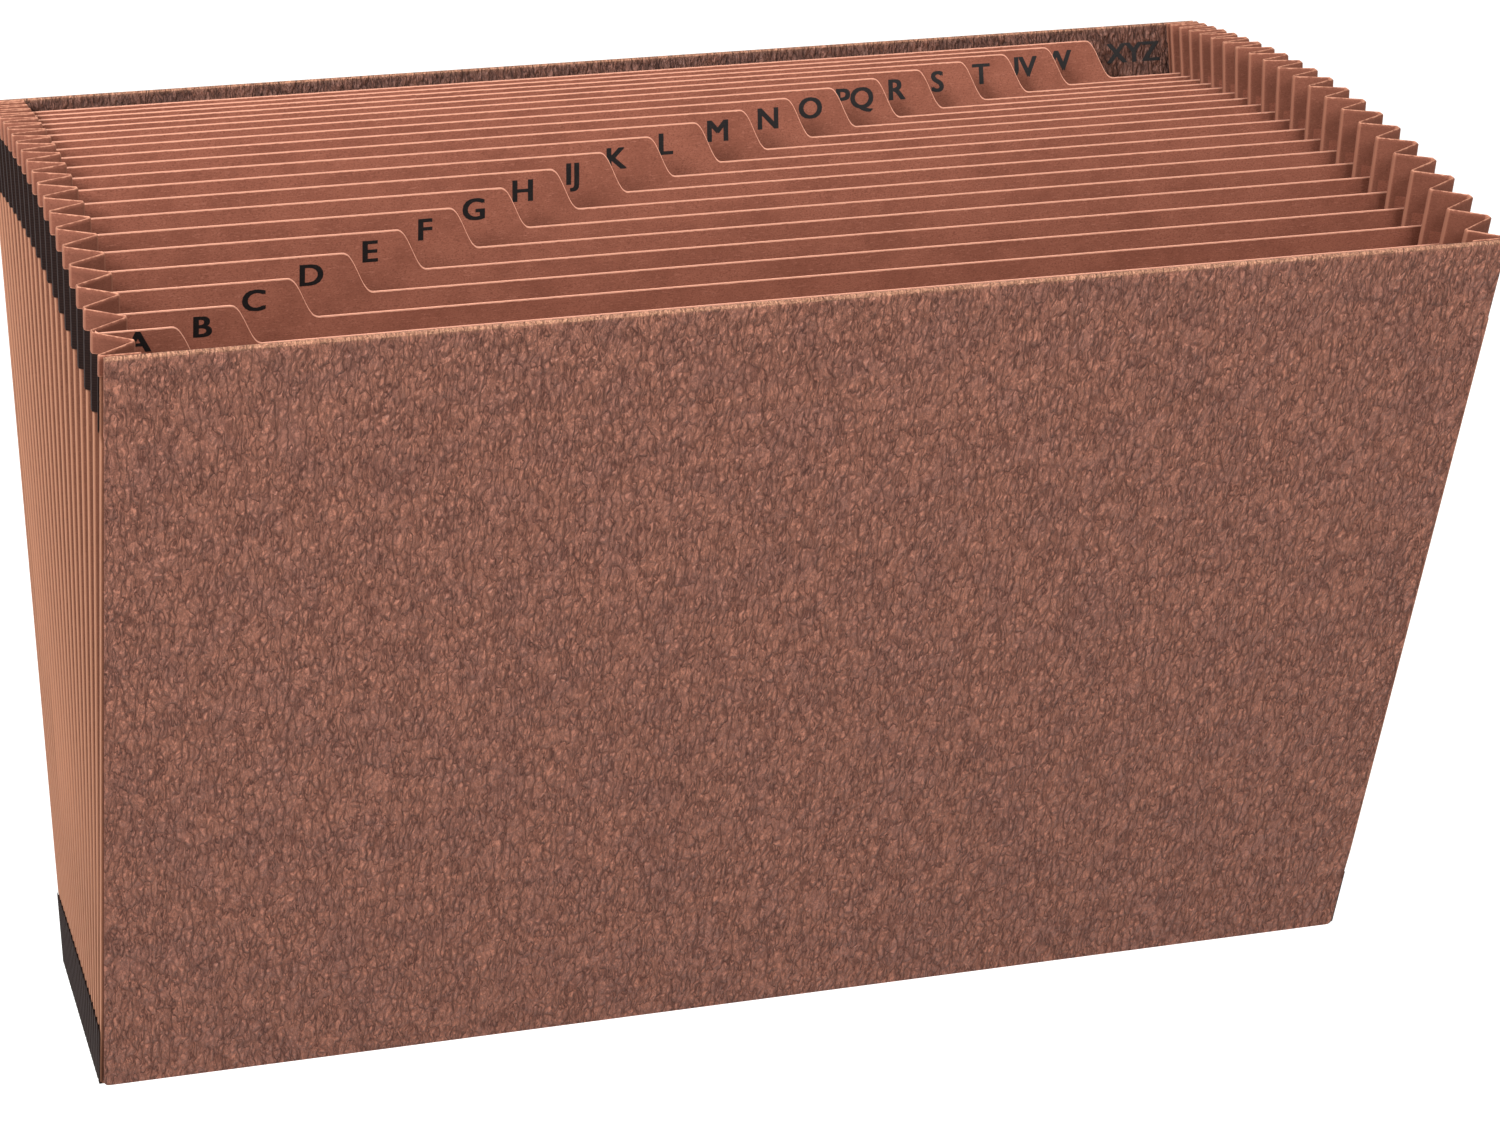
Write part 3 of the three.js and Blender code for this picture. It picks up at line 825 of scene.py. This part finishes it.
def sheet_values(k):
    """The tree's inputs for the index sheet on leaf k."""
    top = SHEET_TOP + (FIRST_RISE if k == 1 else 0)
    return {
        "Lean": lean(k), "Lean Behind": lean(k + 1), "Foot Line": leaf_back(k),
        "Tab Foot": FIRST_FOOT + TAB_PITCH * (k - 1), "Sheet Top": top,
        "Left Flap Top": top - LEFT_FLAP_DROP, "Right Flap Top": top - TAB_DROP + RIGHT_FLAP_RISE,
        "Seed": RIPPLE_SEED * k, "Paper": divider_paper,
    }


index_sheets = {}
for k, name in enumerate(names, start=1):
    sheet = run_tree("index_sheet_" + name, sheet_tree, sheet_values(k), SHEET)
    settle(sheet, "divider_" + name)
    index_sheets[k] = sheet
print("Faces in one sheet:", len(index_sheets[1].data.polygons))

# %% [markdown]
# ## Pleated gussets
#
# A side gusset is one strip folded zigzag: out at every sheet, in between them. The strip is
# drawn as a grid of stations, one at each fold and one close beside it on each panel, so that
# smooth shading rounds the folds. Depths come from the rule that a paper panel keeps its width
# while the fan opens.

# %% Stations of the pleats
GLUE_OFFSET, COVER_FOLD, GLUE_FLAP = 0.2 * MM, 0.7 * MM, 10 * MM
FOLD_FRONT = 0.55 * MM
FOLD_SOFTNESS = 0.7 * MM
FAR = 10 * MM
# Height in mm, and how far in mm the flap is pressed on to its cover there
PRESSED = ((0, 0.85), (21, 0.85), (30, 1.3), (230, 1.3), (232, 0), (300, 0))


def pleat_depth(k, s):
    """How deep the inner fold in front of leaf k lies at height s."""
    half = (leaf_point(k, s)[0] - leaf_point(k - 1, s)[0]) / 2
    return math.sqrt(PANEL ** 2 - (half - FOLD_BACK - INNER_HALF) ** 2)


def pressed(s):
    """How far the glued flap is pressed on to its cover at height s, below the cover's hem."""
    for (low, first), (high, last) in zip(PRESSED, PRESSED[1:]):
        if s <= high * MM:
            return (first + (last - first) * (s / MM - low) / (high - low)) * MM
    return 0.0


def glued_station(k, inset=FOLD_INSET):
    """A station of the flap on a cover: k is 0 for the front cover or POCKETS for the back one."""
    side = 1 if k == 0 else -1

    def at(s):
        return leaf_point(k, s)[0] + side * (GLUE_OFFSET - pressed(s)), inset, k
    return at


def station(k, offset, inner=0):
    """A station offset behind leaf k; inner is the leaf behind it when it is an inner fold."""
    def at(s):
        depth = pleat_depth(inner, s) if inner else 0.0
        return leaf_point(k, s)[0] + offset, FOLD_INSET + depth, k
    return at


def pleat_stations(with_flaps):
    """All the stations from the front cover to the back one."""
    made = [glued_station(0), station(0, COVER_FOLD)]
    for k in range(1, POCKETS + 1):
        made += [station(k - 0.5, -INNER_HALF, k), station(k - 0.5, INNER_HALF, k)]
        if k < POCKETS:
            made += [station(k, -FOLD_FRONT), station(k, FOLD_BACK)]
    made += [station(POCKETS, -COVER_FOLD), glued_station(POCKETS)]
    if with_flaps:
        edge = FOLD_INSET + GLUE_FLAP
        made = [glued_station(0, edge), *made, glued_station(POCKETS, edge)]
    return made


def moved_out(stations, j, s, offset):
    """Station j at height s, moved square to the paper and mitred at the fold."""
    here = stations[j](s)
    normals = []
    for i in (j - 1, j):
        if i < 0 or i + 1 >= len(stations):
            continue
        a, b = stations[i](s), stations[i + 1](s)
        length = math.hypot(b[0] - a[0], b[1] - a[1])
        normals.append(((b[1] - a[1]) / length, (a[0] - b[0]) / length))
    first, last = normals[0], normals[-1]
    scale = offset / (1 + first[0] * last[0] + first[1] * last[1])
    return here[0] + (first[0] + last[0]) * scale, here[1] + (first[1] + last[1]) * scale, here[2]


print("Stations of a whole strip:", len(pleat_stations(True)))

# %% Sweep a pleated strip
def softened(row, panels):
    """A row of fold places with extra places close beside each fold, and a mark for the folds."""
    places, marks = [row[0]], [1.0]
    for a, b, is_panel in zip(row, row[1:], panels):
        if is_panel:
            near = FOLD_SOFTNESS / (b - a).length
            for share in (near, 0.5, 1 - near):
                places.append(a.lerp(b, share))
                marks.append(0.0)
        places.append(b)
        marks.append(1.0)
    return places, marks


def pleated_piece(name, rows, materials, thickness, cut_rows=None, turned=False):
    """A strip from rows of fold places, lowest row first, made solid.
    cut_rows gives each row's distance from a paper edge; turned swaps the strip's two sides."""
    cut_rows = cut_rows or [FAR] * len(rows)
    points, creases, edges = [], [], []
    middle = rows[len(rows) // 2]
    panels = [(b - a).length > PANEL / 2 for a, b in zip(middle, middle[1:])]
    for number, row in enumerate(rows):
        places, marks = softened(row, panels)
        points += places
        creases += marks
        edges += [cut_rows[number]] * len(places)
        width = len(places)
    faces = [(r * width + i, r * width + i + 1, (r + 1) * width + i + 1, (r + 1) * width + i)
             for r in range(len(rows) - 1) for i in range(width - 1)]
    if turned:
        faces = [tuple(reversed(face)) for face in faces]
    carrier = make_piece(name + "_carrier", points, faces, materials,
                         [("crease", creases), ("edge", edges)])
    return made_solid(name, carrier, thickness)


MITRE_GAP = 0.22 * MM


def side_row(stations, side, s, offset):
    """Fold places of a side gusset at height s; side is -1 on the left and 1 on the right."""
    row = []
    for j in range(len(stations)):
        back, inset, k = moved_out(stations, j, s, offset)
        row.append(Vector((side * (HALF_FILE - inset), back, leaf_point(k, s)[1])))
    return row


def mitre_row(stations, side, offset, rise=MITRE_GAP):
    """Fold places along the mitre, where the side pleats meet the bottom ones."""
    row = []
    for j in range(len(stations)):
        s = moved_out(stations, j, FOLD_INSET, offset)[1] + rise
        back, inset, k = moved_out(stations, j, s, offset)
        row.append(Vector((side * (HALF_FILE - inset), back, leaf_point(k, s)[1])))
    return row


GUSSET_TOP, HEM_STEP = 256.5 * MM, 0.4 * MM
PANEL_LEVELS = (21, 30, 50, 85, 125, 170, 205, 230, 232, 250, 255.6, 256.3)
HEM_LEVELS = (256.3, 255, 251.5, 250.5)
# How far each row of a side gusset is from a paper edge, in mm; None is far away
CUT_ROWS = [None] * 10 + [6, 0.9, 0.45, 0.3, 0.45, 1.5, 1, 0.3]
cut_rows = [FAR if row is None else row * MM for row in CUT_ROWS]
for word, side in (("left", -1), ("right", 1)):
    stations = pleat_stations(True)
    rows = [mitre_row(stations, side, 0)]
    rows += [side_row(stations, side, s * MM, 0) for s in PANEL_LEVELS]
    rows.append(side_row(stations, side, GUSSET_TOP, HEM_STEP / 2))
    rows += [side_row(stations, side, s * MM, HEM_STEP) for s in HEM_LEVELS]
    gusset = pleated_piece(word + "_pleats", rows, [shaded_inner_paper, gusset_paper], SHEET,
                           cut_rows, side > 0)
    print(word, "gusset faces:", settle(gusset, word + "_gusset"))

# %% Bottom pleats
BOTTOM_STOPS = (-190.7, -150, -75, 75, 150, 190.7)


def bottom_row(stations, x, offset, least=0.0):
    """Fold places under the pockets at x, or on the mitre where the pleat is deeper than that."""
    side = 1 if x > 0 else -1
    row = []
    for j in range(len(stations)):
        back, inset, k = moved_out(stations, j, FOLD_INSET, offset)
        back += leaf_point(k, inset)[0] - leaf_point(k, FOLD_INSET)[0]
        run = max(HALF_FILE - abs(x), inset + least)
        row.append(Vector((side * (HALF_FILE - run), back, leaf_point(k, inset)[1])))
    return row


stations = pleat_stations(True)
rows = [bottom_row(stations, x * MM, 0, MITRE_GAP) for x in BOTTOM_STOPS]
bottom = pleated_piece("bottom_pleats", rows, [gusset_paper], SHEET)
print("bottom faces:", settle(bottom, "bottom_gusset"))

# %% [markdown]
# ## Tapes
#
# Two dark tapes strengthen each side: one just under the hem and one over the mitred corner. They
# are glued to the pleats, so they are swept along the same stations, a little further out.

# %% Wrap the tapes
TAPE_OUT, TAPE = 0.475 * MM, 0.15 * MM
TOP_TAPE_LEVELS, CORNER_TAPE_REACH = (232.75, 238, 244, 250.25), 21 * MM
for word, side in (("left", -1), ("right", 1)):
    stations = pleat_stations(False)
    rows = [side_row(stations, side, s * MM, TAPE_OUT) for s in TOP_TAPE_LEVELS]
    tape = pleated_piece(word + "_upper_tape", rows, [dark_tape], TAPE)
    settle(tape, word + "_top_tape")
    rows = [side_row(stations, side, CORNER_TAPE_REACH, TAPE_OUT),
            mitre_row(stations, side, TAPE_OUT, 0),
            bottom_row(stations, side * (HALF_FILE - CORNER_TAPE_REACH), TAPE_OUT)]
    tape = pleated_piece(word + "_lower_tape", rows, [dark_tape], TAPE)
    print(word, "lower tape faces:", settle(tape, word + "_corner_tape"))

# %% [markdown]
# ## Index letters
#
# The letters are printed in a bold plain type. A text curve gives the shapes; it is turned into a
# mesh, laid on its leaf and then pressed on to the paper with a ray from each point, because the
# sheet is a little wavy. The last pocket has no sheet, so its letters are on the inside of the
# back cover.

# %% Print the letters
LETTER_SIZE, LETTER_STRETCH, LETTER_RISE, INK_LIFT = 8.8 * MM, 1.04, 248 * MM, 0.03 * MM
INK_SPREAD = ((-0.27, -0.12), (0.27, -0.12), (-0.27, 0.12), (0.27, 0.12))
INK_LAYER, PRESS_FROM = 0.004 * MM, 3 * MM


def letter_mesh(text, size):
    """The flat shapes of the letters, centred on the origin."""
    curve = bpy.data.curves.new("letters", "FONT")
    curve.body = text
    curve.size = size
    curve.align_x, curve.align_y = "CENTER", "CENTER"
    curve.resolution_u = 4
    carrier = bpy.data.objects.new("letters", curve)
    bpy.context.scene.collection.objects.link(carrier)
    bpy.context.view_layer.update()
    mesh = bpy.data.meshes.new_from_object(
        carrier.evaluated_get(bpy.context.evaluated_depsgraph_get()))
    bpy.data.objects.remove(carrier)
    return mesh


def print_letters(name, text, k, x, s, face, surface=None, size=LETTER_SIZE):
    """Letters on leaf k, pressed on to the surface if one is given. face is how far the printed
    face stands in front of the leaf's middle."""
    mesh = letter_mesh(text, size)
    tilt = lean(k)
    up = Vector((0, math.sin(tilt), math.cos(tilt)))
    out = Vector((0, -math.cos(tilt), math.sin(tilt)))
    tree = None
    if surface:
        tree = BVHTree.FromPolygons([v.co.copy() for v in surface.data.vertices],
                                    [tuple(p.vertices) for p in surface.data.polygons])
    points, faces = [], []
    for layer, (right, higher) in enumerate(INK_SPREAD):
        first = len(points)
        for vertex in mesh.vertices:
            across = x + vertex.co.x * LETTER_STRETCH + right * MM
            height = s + vertex.co.y + higher * MM
            spot = Vector((across, leaf_back(k), 0)) + up * height + out * face
            hit = tree.ray_cast(spot + out * PRESS_FROM, -out)[0] if tree else None
            points.append((hit or spot) + out * (INK_LIFT + layer * INK_LAYER))
        faces += [tuple(first + i for i in polygon.vertices) for polygon in mesh.polygons]
    mesh = bpy.data.meshes.new(name)
    mesh.from_pydata(points, [], faces)
    mesh.materials.append(black_ink)
    piece = bpy.data.objects.new(name, mesh)
    bpy.context.scene.collection.objects.link(piece)
    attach(piece, "root")


# Middle of each sheet's letters from side to side, in mm
LABEL_CENTRES = [-179, -161, -145.5, -128.3, -110.4, -93, -76.7, -60.3, -43.3, -28,
                 -10.5, 8.2, 26.6, 42.7, 59.5, 75.7, 92, 109.2, 124.2, 139.8]
XYZ_CENTRE, XYZ_RISE, XYZ_FACE, XYZ_SIZE = 168.4 * MM, 248 * MM, -0.5 * MM, 8.6 * MM
for k, name in enumerate(names, start=1):
    print_letters("letters_" + name, name.upper(), k, LABEL_CENTRES[k - 1] * MM,
                  LETTER_RISE + (2 * FIRST_RISE if k == 1 else 0), SHEET / 2, index_sheets[k])
print_letters("letters_xyz", "XYZ", POCKETS, XYZ_CENTRE, XYZ_RISE, XYZ_FACE, size=XYZ_SIZE)

# %% [markdown]
# ## Shading
#
# Curved paper should look smooth while its cut rims stay crisp, so faces are shaded smooth and
# the edges of the thin rims are marked sharp.

# %% Shade the pieces
PLEAT_SHARP, PLAIN_SHARP = 80, 50


def shade(piece, sharp_angle):
    """Smooth faces, with sharp edges where they turn by more than sharp_angle degrees."""
    work = bmesh.new()
    work.from_mesh(piece.data)
    for face in work.faces:
        face.smooth = True
    for edge in work.edges:
        if len(edge.link_faces) == 2:
            edge.smooth = edge.calc_face_angle() < math.radians(sharp_angle)
    work.to_mesh(piece.data)
    work.free()


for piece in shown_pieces():
    if "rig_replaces" in piece:
        shade(piece, PLEAT_SHARP if "pleats" in piece.name else PLAIN_SHARP)
